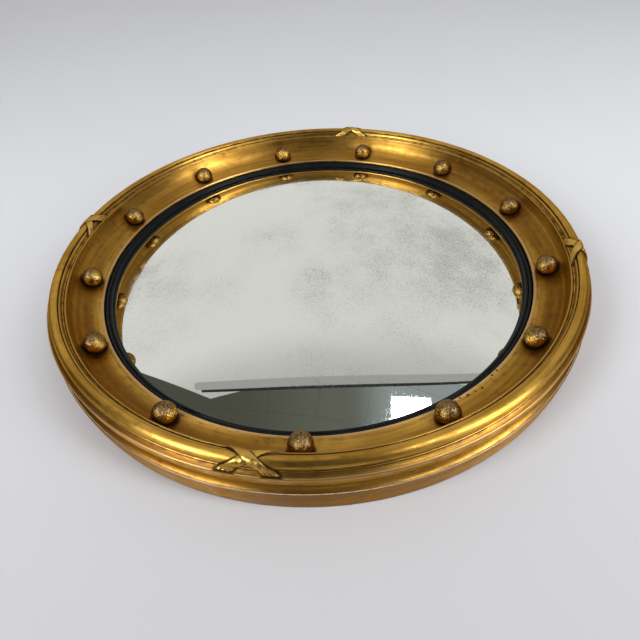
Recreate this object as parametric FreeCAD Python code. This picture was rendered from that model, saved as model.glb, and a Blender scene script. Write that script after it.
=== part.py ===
"""Convex butler's mirror: a round giltwood frame with thirteen balls round a domed glass.

Millimetres. The mirror lies face up: +Z comes out of the glass, z = 0 is the plane of the wall
or table behind it, and Z is the axis that the rings are turned about. +Y is the top when it hangs.
Pieces that touch on flat faces meet there; pieces that meet on curved faces keep a glue gap.
"""
import FreeCAD, Part
import math
import os
from FreeCAD import Vector

# ---- The glass and the stack behind the sight edge ------------------------------------------
sight_radius = 206.1        # inner edge of the gilt lip
slip_show = 6.5             # width of black slip seen inside the lip
slip_depth = 4.2            # from the lip's underside down to the glass at the slip's inner edge
slip_land = 2.2             # part of the slip that lies under the lip
slip_flute = 2.2            # depth of the groove between the slip's two reeds
glass_curve = 500.0         # radius of the glass's front face
glass_overlap = 3.6         # how far the glass runs in under the slip
glass_thickness = 4.0
felt_thickness = 2.3        # at the glass's edge
felt_width = 7.0
board_thickness = 5.0
recess_depth = 4.5          # from the wall up to the back board and the ledge round it

# ---- The turned frame -----------------------------------------------------------------------
ring_width = 43.9           # from the sight edge out to the base band
front_height = 29.1         # from the joint between the layers to the crown of the torus
segments_per_layer = 6
front_joint_deg = 13.0      # where the first joint between two front segments lies
back_rim = 12.6             # width of the face that lies on the wall
base_round = 0.6
base_bulge = 0.5
base_taper = 2.6            # the base band draws in towards the wall

# ---- Mouldings of the front, from the lip outwards -----------------------------------------
lip_thickness = 2.2
lip_width = 3.5
lip_round = 0.8
cove_floor_width = 9.5
cove_floor_rise = 2.0
cove_floor_hollow = 0.35
torus_section = 4.6         # radius of the big outer reed
torus_inset = 9.6           # from the base band in to the middle of the torus
torus_start_deg = 137.0     # the torus's round runs between these two angles of its section
torus_end_deg = -40.0
quirk_drop = 2.3            # depth of the groove inside the torus
bead_size = 0.9             # radius of the two thin beads inside the torus
step_width = 2.0            # hollow step between those beads
step_rise = 2.9
outer_bead = 0.6            # radius of the bead under the torus
ledge_hollow = 0.5
arris_inset = 1.3           # from the base band in to the arris below the torus
arris_drop = 5.9            # from the middle of the torus down to that arris
arris_round = 0.45
quirk_width = 0.8
band_inset = 3.4            # from the base band in to the foot of the band
band_bulge = 0.8
scotia_height = 7.2
scotia_hollow = 2.0
shoulder = 1.0              # ledge of the base band that shows outside the front layer

# ---- Balls and their pegs -------------------------------------------------------------------
ball_count = 13
ball_diameter = 18.9
ball_inset = 11.4           # from the sight edge out to the balls' centres
ball_lift = 9.7             # from the joint between the layers up to the balls' centres
first_ball_deg = 1.2
ball_wander_deg = (-0.5, -1.2, -0.5, 0.0, -0.5, 0.0, 1.0, 1.7, -1.0, -0.5, -0.3, 0.2, 1.1)
peg_diameter = 4.0
peg_in_ball = 4.0           # how far the peg passes the ball's centre
peg_in_frame = 19.0         # how far it reaches below the ball's centre

# ---- Crossed ribbon ties --------------------------------------------------------------------
tie_names = ("right", "top", "left", "bottom")
tie_wander_deg = (1.75, -1.25, -1.0, 0.5)
tie_strap_width = 7.8       # seen from the front
tie_half_span = 16.0        # from the crossing to the end of a strap, along the ring
tie_thickness = 1.8

# ---- Turn buttons, hangers and their screws -------------------------------------------------
button_count = 6
button_thickness = 2.0
button_half_width = 6.0
button_reach = 16.0         # from the pivot to the centre of the round inner end
button_tail = 3.0
button_pivot_inset = 13.5   # from the rebate out to the pivot
screw_shank = 1.75          # radius
screw_head = 3.5            # radius
screw_head_height = 1.3
screw_slot = 0.8
screw_grip = 12.0           # how far a screw goes into the wood
hanger_names = ("right", "left")
hanger_spread_deg = 60.0    # each hanger's angle from the top of the mirror
strap_thickness = 0.8       # one layer; the strap is folded double
strap_length = 20.5
strap_wall_gap = 0.6        # from the strap's round end to the wall of the recess
ring_wire = 1.0             # radius
ring_half_width = 7.5
ring_corner = 2.5
ring_leg = 3.0
hanger_screw_head = 2.8
inner_screw_place = 8.0     # from the ring's pivot
outer_screw_margin = 3.2    # from the strap's round end

# ---- Clearances -----------------------------------------------------------------------------
glue_gap = 0.12             # between glued curved faces
fit_gap = 0.3               # board, slip and felt in their places
glass_gap = 0.5             # round the glass
running_gap = 0.05          # round a pivot
button_gap = 0.2            # between a button and the wood it passes over
head_gap = 0.1              # between a button and its screw's head

# ---- Sizes that follow ----------------------------------------------------------------------
slip_inner = sight_radius - slip_show
glass_radius = slip_inner + glass_overlap
rebate_radius = sight_radius + slip_land + fit_gap
frame_radius = sight_radius + ring_width


def dome_drop(radius, curve):
    """How far a dome of this curve falls from its crown to this radius."""
    return curve - math.sqrt(curve ** 2 - radius ** 2)


back_curve = glass_curve - glass_thickness
ledge_z = recess_depth
board_front = ledge_z + board_thickness
glass_edge_back = board_front + felt_thickness
dome_centre_z = glass_edge_back - math.sqrt(back_curve ** 2 - glass_radius ** 2)
glass_contact = dome_centre_z + math.sqrt(glass_curve ** 2 - slip_inner ** 2)
joint_z = glass_contact + slip_depth
crown_z = joint_z + front_height
recess_radius = frame_radius - base_taper - base_round - back_rim
ball_ring = sight_radius + ball_inset
ball_z = joint_z + ball_lift
ball_radius = ball_diameter / 2
peg_radius = peg_diameter / 2
torus_r = frame_radius - torus_inset
torus_z = crown_z - torus_section
segment_deg = 360.0 / segments_per_layer
pivot_r = rebate_radius + button_pivot_inset
barrel_r = recess_radius - strap_wall_gap - strap_length
hanger_screw_places = (inner_screw_place, strap_length - outer_screw_margin)
barrel_radius = ring_wire + running_gap + strap_thickness
barrel_z = ledge_z - barrel_radius
strap_width = 2 * (ring_half_width - ring_corner)


# ---- Drawing and turning --------------------------------------------------------------------
def outline(start, steps):
    """Closed face in the XZ plane. A step is (x, z) or (x, z, bulge); a bulge to the left of the
    way along the outline makes an arc of that rise."""
    edges = []
    here = start
    for step in list(steps) + [start]:
        there = step[:2]
        bulge = step[2] if len(step) == 3 else 0.0
        a = Vector(here[0], 0, here[1])
        b = Vector(there[0], 0, there[1])
        if bulge:
            run = b - a
            side = Vector(-run.z, 0, run.x).normalize()
            via = (a + b) * 0.5 + side * bulge
            edges.append(Part.Arc(a, via, b).toShape())
        else:
            edges.append(Part.LineSegment(a, b).toShape())
        here = there
    return Part.Face(Part.Wire(edges))


def turned(face, start_deg=0.0, sweep_deg=360.0):
    """The face turned about Z, from one angle through another."""
    solid = face.revolve(Vector(0, 0, 0), Vector(0, 0, 1), sweep_deg)
    return at_angle(solid, start_deg)


def at_angle(shape, degrees):
    """A copy turned about Z."""
    placed = shape.copy()
    placed.rotate(Vector(0, 0, 0), Vector(0, 0, 1), degrees)
    return placed


def post(radius, low, high, x, y=0.0):
    """Upright cylinder between two heights."""
    return Part.makeCylinder(radius, high - low, Vector(x, y, low))


def save(name, shape):
    """Write one piece, or one group of like fasteners, to its own file."""
    shape.exportStep("parts/" + name + ".step")


# ---- Turned frame ---------------------------------------------------------------------------
def on_torus(degrees, section):
    """A point of the torus's section, whose radius is given."""
    angle = math.radians(degrees)
    return (torus_r + section * math.cos(angle), torus_z + section * math.sin(angle))


def arc_rise(across, along):
    """Rise of an arc over its chord, where one end of the arc runs straight along."""
    radius = (across ** 2 + along ** 2) / (2 * across)
    half_chord = math.hypot(across, along) / 2
    return radius - math.sqrt(radius ** 2 - half_chord ** 2)


def front_outline(ease=0.0):
    """Section of the front layer: lip, cove, two thin beads, torus, ledge, band and scotia. With
    an ease it is the bed that a piece set over the torus is hollowed to."""
    section = torus_section + ease
    lip_top = joint_z + lip_thickness
    floor_start = (sight_radius + lip_width, lip_top)
    floor_end = (floor_start[0] + cove_floor_width, lip_top + cove_floor_rise)
    torus_in = on_torus(torus_start_deg, section)
    torus_out = on_torus(torus_end_deg, section)
    torus_rise = section * (1 - math.cos(math.radians(torus_start_deg - torus_end_deg) / 2))
    quirk = (torus_in[0] + 0.7 * ease, torus_in[1] - quirk_drop + ease)
    bead_in = (quirk[0] - 2 * bead_size, quirk[1] - 0.3 * bead_size)
    step_foot = (bead_in[0] - step_width, bead_in[1] - step_rise)
    cove_edge = (step_foot[0] - 2 * bead_size, step_foot[1] - 0.6 * bead_size)
    outer = (torus_out[0] + 1.6 * outer_bead + 1.4 * ease, torus_out[1] - 1.1 * outer_bead)
    arris = (frame_radius - arris_inset, torus_z - arris_drop + ease)
    band_top = (arris[0] - quirk_width, arris[1] - quirk_width)
    band_foot = (frame_radius - band_inset, joint_z + scotia_height)
    return outline((sight_radius, joint_z), [
        (sight_radius, lip_top - lip_round),
        (sight_radius + lip_round, lip_top, 0.29 * lip_round),
        floor_start,
        floor_end + (-cove_floor_hollow,),
        cove_edge + (-arc_rise(cove_edge[0] - floor_end[0], cove_edge[1] - floor_end[1]),),
        step_foot + (0.9 * bead_size,),
        bead_in + (-0.25 * step_width,),
        quirk + (0.9 * bead_size,),
        torus_in,
        torus_out + (torus_rise,),
        outer + (0.8 * outer_bead + 0.5 * ease,),
        (arris[0] - arris_round, arris[1] + arris_round, -ledge_hollow),
        arris + (0.29 * arris_round,),
        band_top,
        band_foot + (band_bulge,),
        (frame_radius - shoulder, joint_z, -scotia_hollow),
    ])


def back_outline():
    """Section of the back layer: base band outside, rebate and ledge inside."""
    foot = frame_radius - base_taper
    return outline((rebate_radius, ledge_z), [
        (rebate_radius, joint_z),
        (frame_radius - base_round, joint_z),
        (frame_radius, joint_z - base_round, 0.29 * base_round),
        (foot, base_round, base_bulge),
        (foot - base_round, 0.0, 0.29 * base_round),
        (recess_radius, 0.0),
        (recess_radius, ledge_z),
    ])


def ball_angle(index):
    """The balls were set by hand, each a little off the even pitch."""
    even = first_ball_deg + index * 360.0 / ball_count
    return even + ball_wander_deg[index % len(ball_wander_deg)]


def ball_seats():
    """Hollows and peg holes that the balls need in the frame, as one list of tools."""
    hollow = Part.makeSphere(ball_radius + glue_gap, Vector(ball_ring, 0, ball_z))
    hole = post(peg_radius + running_gap, ball_z - peg_in_frame - fit_gap, ball_z, ball_ring)
    seat = hollow.fuse(hole)
    return [at_angle(seat, ball_angle(index)) for index in range(ball_count)]


def button_angles():
    return [index * 360.0 / button_count for index in range(button_count)]


def hanger_angles():
    return (90.0 - hanger_spread_deg, 90.0 + hanger_spread_deg)


def screw_holes():
    """Pilot holes for the buttons' and the hangers' screws."""
    radius = screw_shank + running_gap
    top = ledge_z + screw_grip + fit_gap
    holes = [at_angle(post(radius, 0, top, pivot_r), angle) for angle in button_angles()]
    for angle in hanger_angles():
        for place in hanger_screw_places:
            holes.append(at_angle(post(radius, 0, top, barrel_r + place), angle))
    return holes


def make_layer(name, face, first_joint_deg, tools):
    """One layer of the ring, built up from segments glued end to end."""
    for index in range(segments_per_layer):
        segment = turned(face, first_joint_deg + index * segment_deg, segment_deg)
        near = [tool for tool in tools if tool.BoundBox.intersect(segment.BoundBox)]
        save("%s_segment_%d" % (name, index + 1), segment.cut(near) if near else segment)


# ---- Balls ----------------------------------------------------------------------------------
def make_balls():
    ball = Part.makeSphere(ball_radius, Vector(ball_ring, 0, ball_z))
    hole_top = ball_z + peg_in_ball + fit_gap
    ball = ball.cut(post(peg_radius + running_gap, ball_z - 2 * ball_radius, hole_top, ball_ring))
    peg = post(peg_radius, ball_z - peg_in_frame, ball_z + peg_in_ball, ball_ring)
    pegs = []
    for index in range(ball_count):
        save("ball_%02d" % (index + 1), at_angle(ball, ball_angle(index)))
        pegs.append(at_angle(peg, ball_angle(index)))
    save("ball_pegs", Part.makeCompound(pegs))


# ---- Crossed ribbon ties --------------------------------------------------------------------
def tie_outline():
    """Section of the tie's skin over the torus, run well down into the frame below it."""
    crown = torus_z + torus_section + tie_thickness
    inner = torus_r - torus_section - 3.6 * bead_size
    outer = frame_radius - arris_inset - arris_round
    arris_z = torus_z - arris_drop
    inner_z = torus_z - torus_section + 0.6 * tie_thickness
    cover = torus_section + tie_thickness
    return outline((inner, arris_z), [
        (inner, inner_z),
        (torus_r, crown, arc_rise(crown - inner_z, torus_r - inner)),
        (torus_r + cover, torus_z, arc_rise(cover, cover)),
        (outer, arris_z + tie_thickness, -0.3 * tie_thickness),
        (outer, arris_z),
    ])


def make_ties():
    """Two straps crossed over the torus, cast in one piece and bedded on the turned mouldings."""
    skin = turned(tie_outline(), -20.0, 40.0)
    middle = torus_r
    reach = (frame_radius - arris_inset) - middle
    tilt = math.degrees(math.atan2(reach, tie_half_span))
    length = 4 * tie_half_span
    strap = Part.makeBox(tie_strap_width, length, front_height + joint_z,
                         Vector(middle - tie_strap_width / 2, -length / 2, joint_z))
    straps = []
    for side in (-1, 1):
        turned_strap = strap.copy()
        turned_strap.rotate(Vector(middle, 0, 0), Vector(0, 0, 1), side * tilt)
        straps.append(turned_strap)
    cross = straps[0].fuse(straps[1]).common(skin)
    bed = turned(front_outline(glue_gap), -20.0, 40.0)
    tie = cross.cut(bed).removeSplitter()
    tie = max(tie.Solids, key=lambda solid: solid.Volume)
    for index, name in enumerate(tie_names):
        angle = index * 360.0 / len(tie_names) + tie_wander_deg[index]
        save("ribbon_tie_" + name, at_angle(tie, angle))


# ---- Slip, glass, felt and board ------------------------------------------------------------
def glass_front(radius):
    return dome_centre_z + math.sqrt(glass_curve ** 2 - radius ** 2)


def glass_back(radius):
    return dome_centre_z + math.sqrt(back_curve ** 2 - radius ** 2)


def make_slip():
    """Black slip: two reeds in front, a rebate for the glass behind."""
    outer = rebate_radius - fit_gap
    leg_inner = glass_radius + glass_gap
    foot = board_front + fit_gap
    flute_r = slip_inner + 0.44 * slip_show
    flute_z = joint_z - slip_flute
    reed_inner = 0.46 * (flute_r - slip_inner)
    reed_outer = 0.46 * (sight_radius - flute_r)
    face = outline((slip_inner, glass_front(slip_inner) + glue_gap), [
        (slip_inner, flute_z - 0.4),
        (flute_r, flute_z, reed_inner),
        (sight_radius + glue_gap, flute_z + 0.3, reed_outer),
        (sight_radius + glue_gap, joint_z),
        (outer, joint_z),
        (outer, foot),
        (leg_inner, foot),
        (leg_inner, glass_front(leg_inner) + glue_gap),
    ])
    save("black_slip", turned(face))


def make_glass():
    """Domed glass, ground to a plain edge and silvered on its hollow side."""
    half = glass_radius / 2
    crown = dome_centre_z + glass_curve
    crown_back = dome_centre_z + back_curve
    front_arc = Part.Arc(Vector(0, 0, crown), Vector(half, 0, glass_front(half)),
                         Vector(glass_radius, 0, glass_front(glass_radius))).toShape()
    back_arc = Part.Arc(Vector(glass_radius, 0, glass_back(glass_radius)),
                        Vector(half, 0, glass_back(half)), Vector(0, 0, crown_back)).toShape()
    rim = Part.LineSegment(front_arc.Vertexes[-1].Point, back_arc.Vertexes[0].Point).toShape()
    axis = Part.LineSegment(Vector(0, 0, crown_back), Vector(0, 0, crown)).toShape()
    save("mirror_glass", turned(Part.Face(Part.Wire([front_arc, rim, back_arc, axis]))))


def make_felt():
    inner = glass_radius - felt_width
    face = outline((inner, board_front), [
        (inner, glass_back(inner) - glue_gap),
        (glass_radius, glass_back(glass_radius) - glue_gap),
        (glass_radius, board_front),
    ])
    save("felt_packing", turned(face))


def make_board():
    save("back_board", post(rebate_radius - fit_gap, ledge_z, board_front, 0.0))


# ---- Turn buttons and screws ----------------------------------------------------------------
def screw(head_radius, head_base, x):
    """Slotted round-head screw with its head towards the wall."""
    head_face = outline((0.0, head_base - screw_head_height), [
        (0.0, head_base),
        (head_radius, head_base),
        (head_radius, head_base - 0.4 * screw_head_height),
        (0.5 * head_radius, head_base - screw_head_height, 0.12 * head_radius),
    ])
    head = turned(head_face)
    slot = Part.makeBox(3 * head_radius, screw_slot, 0.5 * screw_head_height,
                        Vector(-1.5 * head_radius, -screw_slot / 2, head_base - screw_head_height))
    shank = post(screw_shank, head_base, ledge_z + screw_grip, 0.0)
    body = head.cut(slot).fuse(shank)
    body.translate(Vector(x, 0, 0))
    return body


def make_buttons():
    """Buttons that swing over the back board's edge to hold it in."""
    top = ledge_z - button_gap
    low = top - button_thickness
    inner_end = pivot_r - button_reach
    outer_end = pivot_r + button_tail
    bar = Part.makeBox(outer_end - inner_end, 2 * button_half_width, button_thickness,
                       Vector(inner_end, -button_half_width, low))
    ends = [post(button_half_width, low, top, x) for x in (inner_end, outer_end)]
    button = bar.fuse(ends).removeSplitter()
    button = button.cut(post(screw_shank + running_gap, low, top, pivot_r))
    pivot = screw(screw_head, low - head_gap, pivot_r)
    for index, angle in enumerate(button_angles()):
        save("turn_button_%d" % (index + 1), at_angle(button, angle))
    save("button_screws", Part.makeCompound([at_angle(pivot, angle) for angle in button_angles()]))


# ---- Hangers --------------------------------------------------------------------------------
def hanger_strap():
    """Strip folded double round the ring's bar, with two screw holes and a round end."""
    tail = strap_width / 2
    low = ledge_z - 2 * strap_thickness
    plate = Part.makeBox(strap_length - tail, strap_width, 2 * strap_thickness,
                         Vector(barrel_r, -strap_width / 2, low))
    end = post(tail, low, ledge_z, barrel_r + strap_length - tail)
    seat = Vector(barrel_r, -strap_width / 2, barrel_z)
    barrel = Part.makeCylinder(barrel_radius, strap_width, seat, Vector(0, 1, 0))
    bore = Part.makeCylinder(ring_wire + running_gap, strap_width, seat, Vector(0, 1, 0))
    strap = plate.fuse([end, barrel]).removeSplitter().cut(bore)
    holes = [post(screw_shank + running_gap, low, ledge_z, barrel_r + place)
             for place in hanger_screw_places]
    return strap.cut(holes)


def hanger_ring():
    """D-shaped wire ring, lying in over the board, its straight bar in the strap's barrel."""
    side = ring_half_width
    straight = side - ring_corner
    arc_start = ring_corner + ring_leg
    diagonal = ring_corner * (1 - math.sqrt(0.5))

    def at(inward, across):
        return Vector(barrel_r - inward, across, barrel_z)

    edges = [
        Part.LineSegment(at(0, -straight), at(0, straight)),
        Part.Arc(at(0, straight), at(diagonal, side - diagonal), at(ring_corner, side)),
        Part.LineSegment(at(ring_corner, side), at(arc_start, side)),
        Part.Arc(at(arc_start, side), at(arc_start + side, 0), at(arc_start, -side)),
        Part.LineSegment(at(arc_start, -side), at(ring_corner, -side)),
        Part.Arc(at(ring_corner, -side), at(diagonal, diagonal - side), at(0, -straight)),
    ]
    path = Part.Wire([edge.toShape() for edge in edges])
    section = Part.Wire(Part.Circle(at(0, -straight), Vector(0, 1, 0), ring_wire).toShape())
    return path.makePipeShell([section], True, True)


def make_hangers():
    strap = hanger_strap()
    ring = hanger_ring()
    head_base = ledge_z - 2 * strap_thickness
    fixings = []
    for name, angle in zip(hanger_names, hanger_angles()):
        save("hanger_strap_" + name, at_angle(strap, angle))
        save("hanger_ring_" + name, at_angle(ring, angle))
        for place in hanger_screw_places:
            fixings.append(at_angle(screw(hanger_screw_head, head_base, barrel_r + place), angle))
    save("hanger_screws", Part.makeCompound(fixings))


os.makedirs("parts", exist_ok=True)
seats = ball_seats()
make_layer("front", front_outline(), front_joint_deg, seats)
make_layer("back", back_outline(), front_joint_deg + segment_deg / 2, seats + screw_holes())
make_balls()
make_ties()
make_slip()
make_glass()
make_felt()
make_board()
make_buttons()
make_hangers()
print("joint_z %.2f crown_z %.2f glass crown %.2f frame radius %.1f" % (
    joint_z, crown_z, dome_centre_z + glass_curve, frame_radius))
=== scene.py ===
"""A round convex mirror in a gilt frame, put together piece by piece as its maker would."""
import bpy
import math
from mathutils import Matrix, Vector, noise


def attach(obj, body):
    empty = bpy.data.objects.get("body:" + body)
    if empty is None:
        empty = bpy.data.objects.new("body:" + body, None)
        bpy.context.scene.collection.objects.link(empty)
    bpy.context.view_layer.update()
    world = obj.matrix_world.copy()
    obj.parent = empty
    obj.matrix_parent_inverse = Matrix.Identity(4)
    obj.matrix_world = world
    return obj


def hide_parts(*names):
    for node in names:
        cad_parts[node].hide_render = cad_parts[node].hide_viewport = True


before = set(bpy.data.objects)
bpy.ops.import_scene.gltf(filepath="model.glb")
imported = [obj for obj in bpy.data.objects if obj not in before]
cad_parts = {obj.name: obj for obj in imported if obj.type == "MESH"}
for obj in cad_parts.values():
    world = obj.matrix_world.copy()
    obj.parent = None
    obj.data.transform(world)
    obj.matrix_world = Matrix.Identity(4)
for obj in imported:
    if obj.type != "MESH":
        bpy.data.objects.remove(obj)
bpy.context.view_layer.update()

# ---- Back layer -----------------------------------------------------------------------------
# Six curved blocks of pine, glued end to end into a ring and turned on the lathe. The outside is
# gessoed and gilt, and rubbed thin by handling; the back and the rebate are left as bare wood.
MM = 0.001
segment_turn = math.radians(60)
back_first_joint = math.radians(43)
base_radius = 250.0
layer_joint_z = 21.966
bare_pine = (0.52, 0.33, 0.16)
pine_late_wood = (0.33, 0.17, 0.065)


def clear_selection():
    if bpy.context.object and bpy.context.object.mode != "OBJECT":
        bpy.ops.object.mode_set(mode="OBJECT")
    bpy.ops.object.select_all(action="DESELECT")


def edit(piece):
    clear_selection()
    piece.select_set(True)
    bpy.context.view_layer.objects.active = piece
    bpy.ops.object.mode_set(mode="EDIT")


def draw_section(name, start, strokes):
    """Draw a section in the XZ plane in millimetres. A stroke goes to (x, z), or to (x, z) by an arc
    with a rise to the left of its way, in so many steps."""
    clear_selection()
    bpy.ops.mesh.primitive_plane_add(size=0.001)
    piece = bpy.context.object
    piece.name = name
    bpy.ops.object.mode_set(mode="EDIT")
    bpy.ops.mesh.select_all(action="SELECT")
    bpy.ops.mesh.merge(type="CENTER")
    bpy.ops.transform.translate(value=(start[0] * MM, 0, start[1] * MM))
    here = Vector((start[0], 0, start[1]))
    for stroke in strokes:
        there = Vector((stroke[0], 0, stroke[1]))
        run = there - here
        if len(stroke) == 2:
            bpy.ops.mesh.extrude_vertices_move(TRANSFORM_OT_translate={"value": run * MM})
        else:
            rise, steps = stroke[2], stroke[3]
            chord = run.length
            radius = (chord * chord / 4 + rise * rise) / (2 * abs(rise))
            left = Vector((-run.z, 0, run.x)).normalized() * (1 if rise > 0 else -1)
            centre = (here + there) / 2 + left * (abs(rise) - radius)
            angle = 2 * math.atan2(chord / 2, radius - abs(rise))
            bpy.ops.mesh.spin(steps=steps, angle=-angle if rise > 0 else angle,
                              center=centre * MM, axis=(0, 1, 0))
        here = there
    bpy.ops.mesh.select_all(action="SELECT")
    bpy.ops.mesh.remove_doubles(threshold=0.00001)
    bpy.ops.object.mode_set(mode="OBJECT")
    return piece


def soften(piece, width, sharper_than=25.0):
    """Round the section's corners a little, as gesso and rubbing do."""
    points = [v.co.copy() for v in piece.data.vertices]
    ends = {}
    for edge in piece.data.edges:
        a, b = edge.vertices
        ends.setdefault(a, []).append(b)
        ends.setdefault(b, []).append(a)
    edit(piece)
    bpy.ops.mesh.select_all(action="DESELECT")
    bpy.ops.object.mode_set(mode="OBJECT")
    for index, others in ends.items():
        one, two = (points[other] - points[index] for other in others)
        bend = 180 - math.degrees(one.angle(two))
        short = min(one.length, two.length)
        piece.data.vertices[index].select = bend > sharper_than and short > 2.2 * width * MM
    bpy.ops.object.mode_set(mode="EDIT")
    bpy.ops.mesh.bevel(offset=width * MM, segments=3, affect="VERTICES")
    bpy.ops.object.mode_set(mode="OBJECT")


def turn(piece, sweep, steps):
    """Turn a closed section about Z into a ring or a part of one, with its ends closed."""
    edit(piece)
    bpy.ops.mesh.select_all(action="SELECT")
    if sweep < 6.28:
        bpy.ops.mesh.edge_face_add()
    bpy.ops.mesh.spin(steps=steps, angle=-sweep, center=(0, 0, 0), axis=(0, 0, 1))
    bpy.ops.mesh.select_all(action="SELECT")
    bpy.ops.mesh.remove_doubles(threshold=0.00001)
    bpy.ops.mesh.normals_make_consistent(inside=False)
    bpy.ops.object.mode_set(mode="OBJECT")
    bpy.ops.object.shade_smooth_by_angle(angle=math.radians(38))
    return piece


def marks(piece, name, spots):
    """Store how strongly a turned surface is worn, glazed, or darkened by dirt and painted shade: each spot
    is (radius, height, reach, strength) in millimetres and stands for a ring round the whole frame."""
    layer = piece.data.attributes.new(name, "FLOAT", "POINT")
    values = []
    for vertex in piece.data.vertices:
        r, z = math.hypot(vertex.co.x, vertex.co.y) / MM, vertex.co.z / MM
        value = 0.0
        for spot_r, spot_z, reach, strength in spots:
            away = math.hypot(r - spot_r, z - spot_z) / reach
            if away < 1.0:
                value = max(value, strength * (1 - away * away) ** 2)
        values.append(value)
    layer.data.foreach_set("value", values)


def copy_of(piece, name, angle):
    """A copy with its own mesh, turned about Z."""
    twin = piece.copy()
    twin.data = piece.data.copy()
    twin.name = name
    bpy.context.scene.collection.objects.link(twin)
    twin.data.transform(Matrix.Rotation(angle, 4, "Z"))
    return twin


def remove(piece):
    mesh = piece.data
    bpy.data.objects.remove(piece)
    bpy.data.meshes.remove(mesh)


class Finish:
    """One material, mixed from its nodes in order."""

    def __init__(self, name):
        self.material = bpy.data.materials.new(name)
        self.material.use_nodes = True
        self.tree = self.material.node_tree
        self.shader = self.tree.nodes["Principled BSDF"]

    def feed(self, socket, value):
        if isinstance(value, bpy.types.NodeSocket):
            self.tree.links.new(value, socket)
        elif isinstance(value, tuple) and socket.type == "RGBA":
            socket.default_value = value + (1.0,)
        else:
            socket.default_value = value

    def node(self, kind, inputs, output=0, **settings):
        made = self.tree.nodes.new("ShaderNode" + kind)
        for key, value in settings.items():
            setattr(made, key, value)
        for key, value in inputs.items():
            self.feed(made.inputs[key], value)
        return made.outputs[output]

    def place(self):
        return self.node("TexCoord", {}, "Object")

    def stored(self, name):
        return self.node("Attribute", {}, "Fac", attribute_name=name)

    def calc(self, operation, a, b=0.0):
        return self.node("Math", {0: a, 1: b}, operation=operation)

    def scaled(self, vector, factors):
        return self.node("VectorMath", {0: vector, 1: factors}, operation="MULTIPLY")

    def grain(self, vector, scale, detail=3.0, rough=0.55):
        return self.node("TexNoise", {"Vector": vector, "Scale": scale, "Detail": detail,
                                      "Roughness": rough}, "Fac")

    def fade(self, value, low, high, start=0.0, end=1.0):
        return self.node("MapRange", {"Value": value, "From Min": low, "From Max": high,
                                      "To Min": start, "To Max": end}, interpolation_type="SMOOTHSTEP")

    def blend(self, share, a, b, how="MIX"):
        return self.node("Mix", {0: share, 6: a, 7: b}, 2, data_type="RGBA", blend_type=how)

    def bump(self, height, distance, strength=1.0, over=None):
        inputs = {"Height": height, "Distance": distance, "Strength": strength}
        if over is not None:
            inputs["Normal"] = over
        return self.node("Bump", inputs)

    def finish(self, **inputs):
        for key, value in inputs.items():
            self.feed(self.shader.inputs[key.replace("_", " ")], value)
        return self.material


def ring_streaks(finish, place, along, across):
    """Fine lines that run round the frame, left by the lathe, the gesso scraper and the burnisher."""
    x = finish.node("SeparateXYZ", {0: place}, 0)
    y = finish.node("SeparateXYZ", {0: place}, 1)
    z = finish.node("SeparateXYZ", {0: place}, 2)
    radius = finish.node("VectorMath", {0: finish.scaled(place, (1, 1, 0))}, "Value", operation="LENGTH")
    flat = finish.node("CombineXYZ", {0: finish.calc("MULTIPLY", finish.calc("DIVIDE", x, radius), along),
                                      1: finish.calc("MULTIPLY", finish.calc("DIVIDE", y, radius), along),
                                      2: finish.calc("MULTIPLY", z, across)})
    return finish.node("TexNoise", {"Vector": flat, "W": finish.calc("MULTIPLY", radius, across), "Scale": 1.0,
                                    "Detail": 3.0, "Roughness": 0.6}, "Fac", noise_dimensions="4D")


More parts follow.
